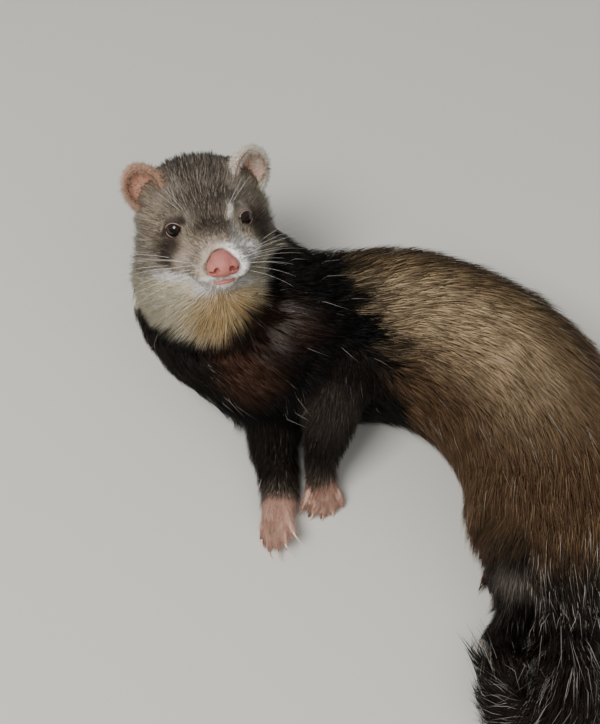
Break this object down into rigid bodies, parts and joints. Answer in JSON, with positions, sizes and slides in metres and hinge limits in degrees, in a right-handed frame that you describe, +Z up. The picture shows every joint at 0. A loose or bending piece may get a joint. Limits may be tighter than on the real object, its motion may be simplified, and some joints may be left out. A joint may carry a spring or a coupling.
{
  "type": "ferret",
  "caption": "Still life-size ferret lying curled on its right side, head lifted to look ahead, forelegs stretched out and tail curled in.",
  "frame": {"origin": "centre of the model's box at the floor", "axes": "+Z up from the floor, +X towards the animal's rear, +Y towards its back; it looks to -Y and up"},
  "size_m": [0.2016, 0.2278, 0.0909],
  "materials": {
    "head_coat": "dense short fur, grizzled brown over cream",
    "bib_coat": "soft cream fur",
    "flank_coat": "golden beige fur with dark tips",
    "rump_coat": "brown fur that darkens to the tail",
    "dark_coat": "near-black fur with silver guard hairs",
    "nose_skin": "bare moist pink skin",
    "ear_skin": "thin pink skin with fine pale hair",
    "eye": "wet black-brown eye",
    "paw": "short pale fur over pink skin, with pale claws"
  },
  "bodies": {
    "root": {"head": "head_coat", "nose": "nose_skin", "ear_left": "ear_skin", "ear_right": "ear_skin", "eye_left": "eye", "eye_right": "eye", "neck": "bib_coat", "torso_front": "dark_coat", "torso_middle": "flank_coat", "torso_rear": "rump_coat", "tail_base": "dark_coat", "tail_middle": "dark_coat", "tail_tip": "dark_coat", "foreleg_left": "dark_coat", "foreleg_right": "dark_coat", "forepaw_left": "paw", "forepaw_right": "paw", "hindleg_left": "dark_coat", "hindleg_right": "dark_coat", "hindpaw_left": "paw", "hindpaw_right": "paw"}
  },
  "joints": []
}
